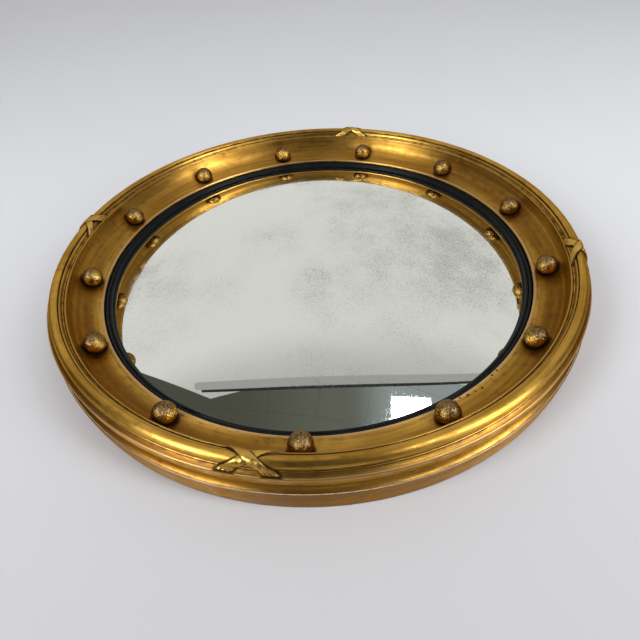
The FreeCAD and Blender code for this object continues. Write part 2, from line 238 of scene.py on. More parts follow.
def gilding(name, leaf, shade, bole, dirt_and_shade, roughness, streaked=True, chips=()):
    """Gold leaf over red-brown clay: burnished, glazed brown, worn on the edges, and darkened by dirt and
    painted shade in its hollows. Its brown tone also carries painted light and shade round the ring. A chip
    is given by its radius, its angle in degrees and its size."""
    glaze_colour = (0.36, 0.24, 0.08)
    gold = Finish(name)
    place = gold.place()
    clouds = gold.grain(place, 16.0, 3.0)
    mottle = gold.grain(place, 130.0, 5.0, 0.62)
    pores = gold.grain(place, 1100.0, 2.0)
    if streaked:
        lines = ring_streaks(gold, place, 9.0, 1500.0)
        bands = ring_streaks(gold, place, 3.0, 420.0)
    else:
        lines = gold.grain(gold.scaled(place, (1.0, 1.0, 5.0)), 420.0, 3.0)
        bands = gold.grain(place, 60.0, 3.0)
    tone = gold.calc("ADD", gold.calc("MULTIPLY", clouds, 0.4), gold.calc("MULTIPLY", bands, 0.6))
    colour = gold.blend(gold.fade(tone, 0.40, 0.60), leaf, shade)
    stain = gold.calc("ADD", gold.calc("MULTIPLY", mottle, 0.7), gold.calc("MULTIPLY", lines, 0.3))
    stain = gold.fade(stain, 0.5, 0.72, 0.0, 0.45)
    colour = gold.blend(stain, colour, dirt_and_shade)
    # The glaze marks carry both the brown toning and painted light and shade round the ring.
    glaze_left = gold.fade(gold.calc("ADD", clouds, bands), 0.8, 1.15, 1.0, 0.72)
    glazed_and_shaded = gold.calc("MULTIPLY", gold.stored("glaze_and_shading"), glaze_left)
    colour = gold.blend(glazed_and_shaded, colour, glaze_colour, "MULTIPLY")
    patchy = gold.calc("MULTIPLY", gold.calc("SUBTRACT", mottle, 0.5), 0.9)
    scratched = gold.calc("MULTIPLY", gold.calc("SUBTRACT", lines, 0.5), 0.6)
    rubbed = gold.calc("ADD", gold.stored("wear"), gold.calc("ADD", patchy, scratched))
    rubbed = gold.fade(rubbed, 0.38, 0.9)
    colour = gold.blend(rubbed, colour, bole)
    # The grime marks carry dirt and painted shade in grooves, creases and round the balls and ties.
    sunk_dirt_and_shade = gold.fade(gold.calc("ADD", gold.stored("grime_and_shade"), patchy), 0.25, 0.9)
    colour = gold.blend(sunk_dirt_and_shade, colour, dirt_and_shade)
    specks = gold.fade(pores, 0.66, 0.74, 0.0, 0.55)
    for radius, angle, size in chips:
        turned = math.radians(angle)
        spot = Vector((radius * math.cos(turned), radius * math.sin(turned), 24.2)) * MM
        away = gold.node("VectorMath", {0: place, 1: tuple(spot)}, "Value", operation="DISTANCE")
        ragged = gold.calc("ADD", away, gold.calc("MULTIPLY", gold.calc("SUBTRACT", pores, 0.5), 0.0035))
        specks = gold.calc("MAXIMUM", specks, gold.fade(ragged, size * 0.55 * MM, size * MM, 1.0, 0.0))
    colour = gold.blend(specks, colour, dirt_and_shade)
    metal = gold.calc("SUBTRACT", 1.0, gold.calc("ADD", gold.calc("MULTIPLY", rubbed, 0.10),
                                                 gold.calc("MULTIPLY", sunk_dirt_and_shade, 0.12)))
    rough = gold.calc("ADD", gold.fade(mottle, 0.3, 0.7, roughness - 0.07, roughness + 0.09),
                      gold.calc("ADD", gold.calc("MULTIPLY", rubbed, 0.1),
                                gold.calc("MULTIPLY", sunk_dirt_and_shade, 0.25)))
    rough = gold.calc("ADD", rough, gold.calc("MULTIPLY", glazed_and_shaded, 0.14))
    height = gold.calc("ADD", gold.calc("MULTIPLY", lines, 0.5), gold.calc("MULTIPLY", mottle, 0.5))
    relief = gold.bump(height, 0.00009, 0.8)
    relief = gold.bump(pores, 0.00003, 0.5, relief)
    gold.finish(Base_Color=colour, Metallic=metal, Roughness=rough, Normal=relief,
                Specular_Tint=(0.80, 0.50, 0.22), Coat_Weight=0.12, Coat_Roughness=0.34)
    if streaked:
        x = gold.node("SeparateXYZ", {0: place}, 0)
        y = gold.node("SeparateXYZ", {0: place}, 1)
        around = gold.node("CombineXYZ", {0: gold.calc("MULTIPLY", y, -1.0), 1: x})
        gold.finish(Anisotropic=0.82, Anisotropic_Rotation=0.25, Tangent=around)
    return gold.material


def pine():
    """Bare softwood with the growth rings of each block's own plank, browned with age."""
    wood = Finish("bare pine")
    plank = wood.node("Attribute", {}, "Vector", attribute_name="plank")
    warp = wood.grain(wood.scaled(plank, (3.0, 14.0, 14.0)), 1.0, 3.0)
    heart = wood.node("CombineXYZ", {1: wood.calc("MULTIPLY", warp, 0.02), 2: 0.05})
    ring_place = wood.node("VectorMath", {0: wood.scaled(plank, (0.0, 1.0, 1.0)), 1: heart}, operation="ADD")
    from_heart = wood.node("VectorMath", {0: ring_place}, "Value", operation="LENGTH")
    rings = wood.calc("FRACT", wood.calc("MULTIPLY", from_heart, 330.0))
    late = wood.fade(rings, 0.55, 0.97)
    fibres = wood.grain(wood.scaled(plank, (60.0, 1600.0, 1600.0)), 1.0, 3.0, 0.7)
    age = wood.grain(plank, 24.0, 4.0)
    colour = wood.blend(wood.calc("MULTIPLY", late, 0.8), bare_pine, pine_late_wood)
    colour = wood.blend(wood.fade(fibres, 0.4, 0.75, 0.0, 0.4), colour, pine_late_wood)
    colour = wood.blend(wood.fade(age, 0.35, 0.7, 0.0, 0.65), colour, (0.24, 0.155, 0.09))
    relief = wood.bump(wood.calc("ADD", fibres, wood.calc("MULTIPLY", late, 0.4)), 0.00012, 0.7)
    return wood.finish(Base_Color=colour, Roughness=wood.fade(fibres, 0.3, 0.8, 0.62, 0.82), Normal=relief)


def store_plank(piece, middle_angle, seed):
    """Each vertex's place in the plank that its block was sawn from: along, across and up."""
    layer = piece.data.attributes.new("plank", "FLOAT_VECTOR", "POINT")
    turned_back = Matrix.Rotation(-middle_angle, 3, "Z")
    values = []
    for vertex in piece.data.vertices:
        place = turned_back @ vertex.co
        values += [place.y + 1.7 * seed, place.x - 0.2 + 0.013 * seed, place.z + 0.009 * seed]
    layer.data.foreach_set("vector", values)


section = draw_section("back_segment", (208.6, 4.5), [
    (208.6, 21.966), (249.4, 21.966), (250.0, 21.366, 0.174, 4), (247.4, 0.6, 0.5, 14),
    (246.8, 0.0, 0.174, 3), (234.2, 0.0), (234.2, 4.5), (208.6, 4.5)])
soften(section, 0.35)
turn(section, segment_turn, 96)
marks(section, "wear", [(249.8, 21.6, 1.5, 1.3), (250.0, 19.0, 4.0, 0.62), (249.6, 14.0, 6.0, 0.7),
                        (248.8, 8.0, 6.0, 0.75), (247.8, 2.5, 4.0, 0.8), (247.0, 0.2, 1.6, 1.1)])
# Dirt and painted shade along the foot of the base and at the joint under the front layer.
marks(section, "grime_and_shade", [(247.0, 0.0, 1.2, 0.7), (248.6, 21.97, 0.8, 0.5)])
base_gilding = gilding("rubbed gilding of the base", (0.42, 0.22, 0.035), (0.29, 0.14, 0.018),
                       (0.25, 0.158, 0.098), (0.045, 0.018, 0.004), 0.38)
pine_wood = pine()
section.data.materials.append(base_gilding)
section.data.materials.append(pine_wood)
for polygon in section.data.polygons:
    centre = polygon.center / MM
    outside = math.hypot(centre.x, centre.y) > 246.9 and polygon.area < 0.0001 and centre.z > 0.05
    polygon.material_index = 0 if outside else 1
for index in range(6):
    start_angle = back_first_joint + index * segment_turn
    block = copy_of(section, "pine_block_%d" % (index + 1), start_angle)
    store_plank(block, start_angle + segment_turn / 2, index)
    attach(block, "frame")
    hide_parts("back_segment_%d" % (index + 1))
remove(section)

# ---- Front layer ----------------------------------------------------------------------------
# A second ring of six blocks, its joints set between those of the back layer. Turned to the lip,
# cove, two beads, great torus, ledge and scotia, then gessoed, gilt, burnished and toned brown. The
# toning is uneven round the ring: one share of it for each thirty degrees. The shares follow how
# light or dark the gold looks round the ring, so they hold painted light and shade as well as toning.
front_first_joint = math.radians(13)
ball_ring = 217.5
ball_height = 31.666
ball_radius = 9.45
seat_shade_reach = 4.5
first_ball, ball_pitch = 1.2, 360 / 13
ball_wander = (-0.5, -1.2, -0.5, 0.0, -0.5, 0.0, 1.0, 1.7, -1.0, -0.5, -0.3, 0.2, 1.1)
ball_angles = [math.radians(first_ball + index * ball_pitch + wander)
               for index, wander in enumerate(ball_wander)]

section = draw_section("front_segment", (206.1, 21.966), [
    (206.1, 23.366), (206.9, 24.166, 0.232, 4), (209.6, 24.166), (219.1, 26.166, -0.35, 8),
    (231.436, 43.593, -3.396, 30), (233.236, 44.133, 0.81, 8), (235.236, 47.033, -0.5, 6),
    (237.036, 47.303, 0.81, 8), (237.036, 49.603), (243.924, 43.509, 4.48, 32),
    (244.884, 42.849, 0.48, 6), (248.25, 41.016, -0.5, 7), (248.7, 40.566, 0.131, 4),
    (247.9, 39.766), (246.6, 29.166, 0.8, 10), (249.0, 21.966, -2.0, 14), (206.1, 21.966)])
soften(section, 0.22)
turn(section, segment_turn, 96)
marks(section, "wear", [
    (206.7, 24.1, 1.5, 1.0), (208.6, 24.17, 1.5, 0.9), (218.6, 26.0, 3.2, 0.42),
    (232.3, 44.7, 1.2, 0.6), (236.2, 48.1, 1.1, 0.7), (244.7, 43.3, 0.7, 0.8),
    (246.9, 41.6, 1.8, 0.5), (248.6, 40.9, 1.1, 1.2), (247.9, 37.0, 2.8, 0.8), (247.7, 33.5, 3.2, 0.62),
    (249.0, 22.4, 0.8, 0.5)])
# Dirt and painted shade in the creases: by the lip, beside the beads and the torus, under the ledge, in the
# scotia and at the joint above the base.
marks(section, "grime_and_shade", [
    (209.7, 24.2, 1.0, 0.45), (231.4, 43.6, 0.9, 0.6), (233.3, 44.3, 1.1, 1.0), (234.6, 45.6, 1.4, 0.85),
    (237.04, 47.5, 1.3, 1.0), (237.1, 49.3, 1.2, 0.6), (243.95, 43.5, 1.0, 1.1), (244.95, 42.8, 0.9, 1.0),
    (245.7, 42.2, 1.1, 0.45), (247.9, 39.7, 0.9, 1.1),
    (246.6, 28.9, 1.5, 0.85), (246.7, 26.8, 2.2, 0.4), (249.0, 22.0, 0.7, 1.0)])
marks(section, "glaze_and_shading", [
    (219.5, 29.0, 13.0, 1.25), (225.0, 32.0, 8.0, 1.25), (229.0, 38.0, 7.0, 1.2), (231.2, 42.0, 4.0, 1.0),
    (246.7, 31.0, 9.0, 0.7), (246.6, 41.9, 2.6, 1.6), (247.2, 25.0, 5.0, 1.7)])
frame_gilding = gilding("burnished gilding", (0.54, 0.31, 0.058), (0.34, 0.175, 0.022),
                        (0.50, 0.31, 0.135), (0.050, 0.021, 0.004), 0.34,
                        chips=((209.2, -46.8, 1.5), (210.9, -43.2, 1.3), (208.0, -39.0, 1.1),
                               (207.7, -37.1, 1.0), (208.6, -50.1, 1.1), (207.9, -48.6, 0.9),
                               (209.8, -44.9, 0.8)))
section.data.materials.append(frame_gilding)
mouldings = []
toning_and_light = (0.28, 0.48, 0.90, 0.72, 0.70, 0.50, 0.46, 0.48, 0.44, 0.68, 0.90, 0.85)
for index in range(6):
    start_angle = front_first_joint + index * segment_turn
    block = copy_of(section, "gilt_moulding_%d" % (index + 1), start_angle)
    seats = [Vector((ball_ring * math.cos(angle), ball_ring * math.sin(angle), ball_height)) * MM
             for angle in ball_angles]
    grime_and_shade, glaze_and_shading = block.data.attributes["grime_and_shade"].data, block.data.attributes["glaze_and_shading"].data
    for vertex in block.data.vertices:
        # Each share scales the glaze by the block's place round the ring, which paints in light and shade as well
        # as uneven toning.
        hour = (math.degrees(math.atan2(vertex.co.y, vertex.co.x)) + 77) % 360 / 30
        share = hour - int(hour)
        share = share * share * (3 - 2 * share)
        glaze_and_shading[vertex.index].value *= toning_and_light[int(hour)] * (1 - share) + toning_and_light[(int(hour) + 1) % 12] * share
        # Painted shade in the cove round each ball's foot, darkest next to the ball and fading outwards.
        gap = min((vertex.co - seat).length for seat in seats) / MM - ball_radius
        if gap < seat_shade_reach:
            grime_and_shade[vertex.index].value = max(grime_and_shade[vertex.index].value, 1.2 - 0.27 * max(gap, 0.0))
    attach(block, "frame")
    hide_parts("front_segment_%d" % (index + 1))
    mouldings.append(block)
remove(section)

# ---- Balls ----------------------------------------------------------------------------------
# Thirteen turned wooden balls, each pegged into a hollow in the cove. They were gilt before they
# were set, and their tops have gone brown and dull where hands and dust reach them.
def dress(node_name, material):
    """Give one of the part's own meshes a new material. Its shape stays as it is."""
    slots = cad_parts[node_name].data.materials
    slots.clear()
    slots.append(material)


beech = Finish("beech dowel")
beech_grain = beech.grain(beech.scaled(beech.place(), (900.0, 900.0, 60.0)), 1.0, 3.0)
dress("ball_pegs", beech.finish(
    Base_Color=beech.blend(beech_grain, (0.62, 0.42, 0.24), (0.45, 0.28, 0.14)), Roughness=0.6,
    Normal=beech.bump(beech_grain, 0.0001, 0.5)))


def ball_finish():
    gold = Finish("bronzed gilding of the balls")
    place = gold.place()
    height = gold.node("SeparateXYZ", {0: place}, 2)
    clouds = gold.grain(place, 150.0, 4.0, 0.6)
    flecks = gold.grain(place, 620.0, 3.0, 0.65)
    pores = gold.grain(place, 1300.0, 2.0, 0.6)
    colour = gold.blend(gold.fade(clouds, 0.38, 0.62), (0.36, 0.22, 0.045), (0.17, 0.09, 0.016))
    patina = gold.fade(gold.calc("ADD", height, gold.calc("MULTIPLY", clouds, 0.008)), 0.0385, 0.0455)
    dull = gold.blend(gold.fade(flecks, 0.43, 0.57), (0.22, 0.14, 0.075), (0.035, 0.018, 0.008))
    colour = gold.blend(gold.calc("MULTIPLY", patina, 0.85), colour, dull)
    colour = gold.blend(gold.fade(pores, 0.58, 0.70, 0.0, 0.7), colour, (0.03, 0.014, 0.006))
    # Painted shade: the lower part of each ball, down in the cove, goes to a dark red-brown.
    shaded_foot = gold.fade(height, 0.0250, 0.0335, 1.0, 0.0)
    colour = gold.blend(shaded_foot, colour, (0.045, 0.012, 0.002))
    metal = gold.calc("SUBTRACT", 1.0, gold.calc("ADD", gold.calc("MULTIPLY", patina, 0.12),
                                                 gold.calc("MULTIPLY", shaded_foot, 0.1)))
    rough = gold.calc("ADD", gold.fade(clouds, 0.3, 0.7, 0.15, 0.25), gold.calc("MULTIPLY", patina, 0.14))
    relief = gold.bump(flecks, 0.0009, 0.8)
    relief = gold.bump(pores, 0.00006, 0.6, relief)
    return gold.finish(Base_Color=colour, Metallic=metal, Roughness=rough, Normal=relief,
                       Specular_Tint=(0.75, 0.45, 0.20), Coat_Weight=0.12, Coat_Roughness=0.22)


clear_selection()
bpy.ops.mesh.primitive_uv_sphere_add(segments=48, ring_count=32, radius=ball_radius * MM)
ball = bpy.context.object
bpy.ops.object.mode_set(mode="EDIT")
bpy.ops.mesh.select_all(action="SELECT")
bpy.ops.mesh.bisect(plane_co=(0, 0, -9.1 * MM), plane_no=(0, 0, -1), clear_outer=True, use_fill=True)
bpy.ops.mesh.inset(thickness=0.4 * MM)
bpy.ops.mesh.extrude_region_move(TRANSFORM_OT_translate={"value": (0, 0, 6 * MM)})
bpy.ops.mesh.select_all(action="SELECT")
bpy.ops.mesh.normals_make_consistent(inside=False)
bpy.ops.object.mode_set(mode="OBJECT")
bpy.ops.object.shade_smooth_by_angle(angle=math.radians(40))
bronzed = ball_finish()
ball.data.materials.append(bronzed)
for index, angle in enumerate(ball_angles):
    twin = copy_of(ball, "turned_ball_%02d" % (index + 1), 0.0)
    place = Vector((ball_ring * math.cos(angle), ball_ring * math.sin(angle), ball_height)) * MM
    oval = 1.0 - 0.012 * ((index * 5) % 4) / 3
    twin.data.transform(Matrix.Translation(place) @ Matrix.Rotation(index * 0.7, 4, "Z")
                        @ Matrix.Diagonal((oval, 1.0, 0.995, 1.0)))
    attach(twin, "frame")
    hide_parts("ball_%02d" % (index + 1))
remove(ball)

# ---- Crossed ribbon ties --------------------------------------------------------------------
# Two straps of ribbon crossed over the great torus at four places. They were cast in composition,
# bedded on the turned mouldings with glue, and gilt with the frame, rubbed on their crowns. Shade is
# painted along their edges and where one passes under the other, so they look brightest on their crowns.
strap_width, strap_run, strap_tilt = 7.8, 52.0, math.radians(42)
torus_radius, torus_middle_z = 240.4, 46.466
tie_skin = draw_section("tie_skin", (232.56, 42.946), [
    (240.4, 52.866, 3.062, 20), (246.8, 46.466, 1.875, 14), (248.25, 42.366, -0.54, 8)])
skin = [Vector((v.co.x, v.co.z)) / MM for v in tie_skin.data.vertices]
skin.sort(key=lambda point: math.atan2(point.x - torus_radius, torus_middle_z - point.y) % (2 * math.pi),
          reverse=True)
remove(tie_skin)
reach = [0.0]
for before, after in zip(skin, skin[1:]):
    reach.append(reach[-1] + (after - before).length)
crown = reach[max(range(len(skin)), key=lambda index: skin[index].y)] + 0.6


def on_skin(way, height):
    """The point that lies so far along the tie's skin from its inner end, and so high above it."""
    way = min(max(way, 0.0), reach[-1] - 0.001)
    index = next(i for i in range(len(reach) - 1) if reach[i + 1] > way)
    share = (way - reach[index]) / (reach[index + 1] - reach[index])
    point = skin[index].lerp(skin[index + 1], share)
    before, after = skin[max(index - 1, 0)], skin[min(index + 2, len(skin) - 1)]
    along = (after - before).normalized()
    return point + Vector((-along.y, along.x)) * height


def round_edges(sharper_than, width, segments):
    """Bevel the edges, and no others, where the open piece bends more sharply than this."""
    bpy.ops.mesh.select_all(action="DESELECT")
    bpy.ops.mesh.select_mode(type="EDGE")
    bpy.ops.mesh.edges_select_sharp(sharpness=math.radians(sharper_than))
    bpy.ops.mesh.bevel(offset=width, segments=segments)
    bpy.ops.mesh.select_mode(type="VERT")


def flat_strap(name, side, over):
    """One strap laid out flat: x runs round the ring, y across the mouldings, z is its height."""
    clear_selection()
    bpy.ops.mesh.primitive_grid_add(x_subdivisions=22, y_subdivisions=96, size=1.0)
    strap = bpy.context.object
    strap.name = name
    bpy.ops.object.mode_set(mode="EDIT")
    bpy.ops.mesh.select_all(action="SELECT")
    bpy.ops.transform.resize(value=(strap_width, strap_run, 1.0))
    bpy.ops.object.mode_set(mode="OBJECT")
    for vertex in strap.data.vertices:
        across, along = vertex.co.x, vertex.co.y
        edge = abs(across) / (strap_width / 2)
        height = -0.10 - 0.75 * edge ** 3
        height += (0.35 if over else -0.65) * math.exp(-(along / 5.0) ** 2)
        flutes = min(max((abs(along) - 8.0) / 6.0, 0.0), 1.0) * (1.0 if side > 0 else 0.45)
        height += 0.20 * flutes * math.cos(2 * math.pi * across / 2.3)
        vertex.co.z = height
    edit(strap)
    bpy.ops.mesh.select_all(action="SELECT")
    bpy.ops.mesh.extrude_region_move(TRANSFORM_OT_translate={"value": (0, 0, -3.0)})
    bpy.ops.mesh.select_all(action="SELECT")
    bpy.ops.transform.rotate(value=side * (math.radians(90) - strap_tilt), orient_axis="Z",
                             center_override=(0, 0, 0))
    bpy.ops.transform.translate(value=(0, crown, 0))
    for cut, facing in ((0.3, -1), (reach[-1] - 0.3, 1)):
        bpy.ops.mesh.select_all(action="SELECT")
        bpy.ops.mesh.bisect(plane_co=(0, cut, 0), plane_no=(0, facing, 0), clear_outer=True, use_fill=True)
    bpy.ops.mesh.select_all(action="SELECT")
    bpy.ops.mesh.normals_make_consistent(inside=False)
    round_edges(50, 0.28, 2)
    bpy.ops.object.mode_set(mode="OBJECT")
    return strap


straps = [flat_strap("tie_under", -1, False), flat_strap("tie_over", 1, True)]
for strap, side in zip(straps, (-1, 1)):
    grime_and_shade = strap.data.attributes.new("grime_and_shade", "FLOAT", "POINT").data
    wear = strap.data.attributes.new("wear", "FLOAT", "POINT").data
    for vertex in strap.data.vertices:
        flat = Vector((vertex.co.x, vertex.co.y - crown))
        own = abs(flat.x * math.sin(strap_tilt) - side * flat.y * math.cos(strap_tilt))
        other = abs(flat.x * math.sin(strap_tilt) + side * flat.y * math.cos(strap_tilt))
        # Painted shade on the straps' side walls and along their edges, and on the under strap beside the edge of
        # the strap over it.
        dirt_and_shade = min(max((-0.95 - vertex.co.z) / 0.4, 0.0), 1.1)
        dirt_and_shade = max(dirt_and_shade, min((own - 3.15) / 0.6, 1.0))
        if side < 0 and abs(other - strap_width / 2) < 1.1:
            dirt_and_shade = max(dirt_and_shade, 1.0 - abs(other - strap_width / 2) / 1.3)
        grime_and_shade[vertex.index].value = dirt_and_shade
        wear[vertex.index].value = 0.42 * min(max((vertex.co.z + 0.45) / 0.5, 0.0), 1.0) if own < 3.4 else 0.0
clear_selection()
for strap in straps:
    strap.select_set(True)
bpy.context.view_layer.objects.active = straps[0]
bpy.ops.object.join()
flat_tie = straps[0]
tie_gilding = gilding("burnished gilding of the ties", (0.62, 0.38, 0.095), (0.42, 0.235, 0.045),
                      (0.46, 0.27, 0.11), (0.040, 0.017, 0.004), 0.31, streaked=False)
flat_tie.data.materials.append(tie_gilding)
tie_angles = (("right", 1.75), ("top", 88.75), ("left", 179.0), ("bottom", 270.5))
for index, (name, angle) in enumerate(tie_angles):
    tie = copy_of(flat_tie, "crossed_ribbon_" + name, 0.0)
    for vertex in tie.data.vertices:
        flat = vertex.co.copy()
        lump = noise.noise(Vector((flat.x * 0.28 + 9 * index, flat.y * 0.28, 3.0))) * 0.17
        lump += noise.noise(Vector((flat.x * 0.8, flat.y * 0.8 + 7 * index, 5.0))) * 0.06
        place = on_skin(flat.y, min(flat.z + (lump if flat.z > -2.0 else 0.0), 0.75))
        turn_by = math.radians(angle) + flat.x / torus_radius
        vertex.co = Vector((place.x * math.cos(turn_by), place.x * math.sin(turn_by), place.y)) * MM
    edit(tie)
    bpy.ops.mesh.select_all(action="SELECT")
    bpy.ops.mesh.flip_normals()
    bpy.ops.object.mode_set(mode="OBJECT")
    bpy.ops.object.shade_smooth_by_angle(angle=math.radians(45))
    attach(tie, "frame")
    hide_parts("ribbon_tie_" + name)
remove(flat_tie)

# Painted shade on the mouldings along the straps' edges. It fades out over a few millimetres.
tie_reach, skin_inner_edge, skin_low_edge, edge_shade_fade = 26.0, 232.5, 39.5, 2.6
for block in mouldings:
    grime_and_shade = block.data.attributes["grime_and_shade"].data
    for vertex in block.data.vertices:
        spot = Vector((math.hypot(vertex.co.x, vertex.co.y), vertex.co.z)) / MM
        if spot.x < skin_inner_edge or spot.y < skin_low_edge:
            continue
        turned = math.atan2(vertex.co.y, vertex.co.x)
        for _, angle in tie_angles:
            aside = ((turned - math.radians(angle) + math.pi) % (2 * math.pi) - math.pi) * torus_radius
            if abs(aside) < tie_reach:
                way = reach[min(range(len(skin)), key=lambda place: (skin[place] - spot).length)] - crown
                gap = min(abs(aside * math.sin(strap_tilt) + side * way * math.cos(strap_tilt))
                          for side in (-1, 1)) - strap_width / 2
                grime_and_shade[vertex.index].value = max(grime_and_shade[vertex.index].value, 1.0 - max(gap, 0.0) / edge_shade_fade)

# ---- Black slip -----------------------------------------------------------------------------
# A thin turned ring with two reeds, ebonised and waxed to a soft shine. It drops into the rebate
# from behind and its inner edge presses on the glass.
slip = draw_section("reeded_slip", (199.6, 17.886), [
    (199.6, 19.366), (202.46, 19.766, 1.316, 12), (206.1, 20.066, 1.6, 14), (206.1, 21.966),
    (208.3, 21.966), (208.3, 9.8), (203.7, 9.8), (203.7, 16.079), (199.6, 17.886)])
soften(slip, 0.15)
turn(slip, 2 * math.pi, 288)
ebony = Finish("ebonised wood, waxed")
ebony_place = ebony.place()
ebony_lines = ring_streaks(ebony, ebony_place, 10.0, 1700.0)
ebony_dust = ebony.grain(ebony_place, 60.0, 4.0, 0.65)
ebony_colour = ebony.blend(ebony.fade(ebony_dust, 0.5, 0.75, 0.0, 0.35),
                           (0.0035, 0.0040, 0.0045), (0.016, 0.016, 0.015))
slip.data.materials.append(ebony.finish(
    Base_Color=ebony_colour, Specular_IOR_Level=0.09, Roughness=ebony.fade(ebony_dust, 0.35, 0.7, 0.26, 0.44),
    Normal=ebony.bump(ebony_lines, 0.00006, 0.6)))
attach(slip, "frame")
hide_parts("black_slip")

# ---- Domed glass ----------------------------------------------------------------------------
# One sheet of glass slumped to a shallow dome, its edge ground, silvered on the hollow side and
# painted over. With age the silver has clouded and gone to grey specks, mostly at the upper right.
glass = draw_section("convex_glass", (0.0, 59.334), [
    (203.0, 16.28, 10.885, 72), (203.2, 16.0), (203.2, 11.95), (203.0, 11.89), (0.0, 55.334, -10.983, 40)])
turn(glass, 2 * math.pi, 256)


def silvering():
    silver = Finish("foxed silvering")
    place = silver.place()
    cloud = silver.grain(place, 13.0, 5.0, 0.6)
    veil = silver.grain(place, 38.0, 5.0, 0.65)
    specks = silver.grain(place, 640.0, 3.0, 0.8)
    fine = silver.grain(place, 1500.0, 2.0, 0.6)
    decay = None
    for x, y, size, strength in (
            (0.105, 0.020, 0.115, 0.8), (0.140, -0.015, 0.085, 0.9), (0.070, 0.060, 0.095, 0.7),
            (0.150, 0.035, 0.065, 0.7), (0.020, 0.040, 0.060, 0.4), (-0.022, -0.024, 0.045, 0.45),
            (-0.045, -0.015, 0.055, 0.4), (0.021, -0.059, 0.065, 0.4), (-0.145, -0.130, 0.060, 0.6),
            (-0.137, -0.070, 0.085, 0.5), (-0.060, 0.110, 0.080, 0.4), (0.060, 0.000, 0.105, 0.5)):
        away = silver.node("VectorMath", {0: place, 1: (x, y, 0.05)}, "Value", operation="DISTANCE")
        patch = silver.fade(away, 0.0, size, strength, 0.0)
        decay = patch if decay is None else silver.calc("MAXIMUM", decay, patch)
    decay = silver.calc("MULTIPLY", decay, silver.fade(veil, 0.28, 0.72, 0.45, 1.0))
    decay = silver.calc("ADD", decay, silver.fade(cloud, 0.42, 0.70, 0.05, 0.40))
    speckled = silver.fade(silver.calc("ADD", specks, silver.calc("MULTIPLY", decay, 0.14)), 0.50, 0.72)
    speckled = silver.calc("MULTIPLY", speckled, silver.fade(decay, 0.0, 0.8, 0.12, 1.0))
    pinholes = silver.fade(fine, 0.64, 0.76, 0.0, 0.6)
    haze = silver.calc("MULTIPLY", silver.fade(decay, 0.05, 0.9), 0.36)
    colour = silver.blend(haze, (0.80, 0.815, 0.785), (0.56, 0.565, 0.49))
    colour = silver.blend(silver.calc("MULTIPLY", speckled, 0.55), colour, (0.24, 0.255, 0.225))
    colour = silver.blend(silver.calc("MULTIPLY", pinholes, decay), colour, (0.10, 0.11, 0.10))
    rough = silver.calc("ADD", silver.calc("MULTIPLY", haze, 0.22), silver.calc("MULTIPLY", speckled, 0.25))
    return silver.finish(Base_Color=colour, Metallic=1.0, Roughness=silver.calc("ADD", rough, 0.012),
                         Coat_Weight=0.5, Coat_Roughness=0.02)


ground_edge = Finish("ground edge of the glass")
edge_chatter = ground_edge.grain(ground_edge.place(), 700.0, 3.0)
ground_edge = ground_edge.finish(
    Base_Color=ground_edge.blend(edge_chatter, (0.16, 0.24, 0.20), (0.26, 0.33, 0.29)), Roughness=0.45)
backing = Finish("backing paint of the mirror")
backing_place = backing.place()
brush_marks = backing.grain(backing.scaled(backing_place, (30.0, 260.0, 60.0)), 1.0, 4.0)
backing = backing.finish(
    Base_Color=backing.blend(brush_marks, (0.19, 0.13, 0.10), (0.27, 0.20, 0.16)),
    Roughness=backing.fade(brush_marks, 0.3, 0.7, 0.55, 0.75), Normal=backing.bump(brush_marks, 0.0002, 0.6))
for material in (silvering(), ground_edge, backing):
    glass.data.materials.append(material)
for polygon in glass.data.polygons:
    level = polygon.normal.z
    polygon.material_index = 0 if level > 0.6 else 2 if level < -0.6 else 1
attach(glass, "frame")
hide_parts("mirror_glass")

# ---- Felt packing and back board ------------------------------------------------------------
# A strip of grey felt behind the glass's edge takes up the play, and a disc of birch plywood closes
# the back. The board lies loose on the felt until the buttons are turned over it.
board_radius, board_low, board_high = 208.3, 4.5, 9.5
felt = Finish("grey felt")
felt_fibres = felt.grain(felt.place(), 1500.0, 4.0, 0.7)
felt_tufts = felt.grain(felt.place(), 160.0, 3.0)
dress("felt_packing", felt.finish(
    Base_Color=felt.blend(felt_fibres, (0.055, 0.058, 0.058), (0.12, 0.122, 0.12)), Roughness=0.95,
    Sheen_Weight=0.4, Normal=felt.bump(felt.calc("ADD", felt_fibres, felt_tufts), 0.0004, 0.8)))

clear_selection()
bpy.ops.mesh.primitive_circle_add(vertices=256, radius=board_radius * MM, fill_type="NGON",
                                  location=(0, 0, board_low * MM))
board = bpy.context.object
board.name = "plywood_back"
bpy.ops.object.transform_apply(location=True)
bpy.ops.object.mode_set(mode="EDIT")
bpy.ops.mesh.select_all(action="SELECT")
bpy.ops.mesh.extrude_region_move(TRANSFORM_OT_translate={"value": (0, 0, (board_high - board_low) * MM)})
bpy.ops.mesh.select_all(action="SELECT")
bpy.ops.mesh.normals_make_consistent(inside=False)
round_edges(60, 0.35 * MM, 2)
bpy.ops.object.mode_set(mode="OBJECT")
bpy.ops.object.shade_smooth_by_angle(angle=math.radians(35))


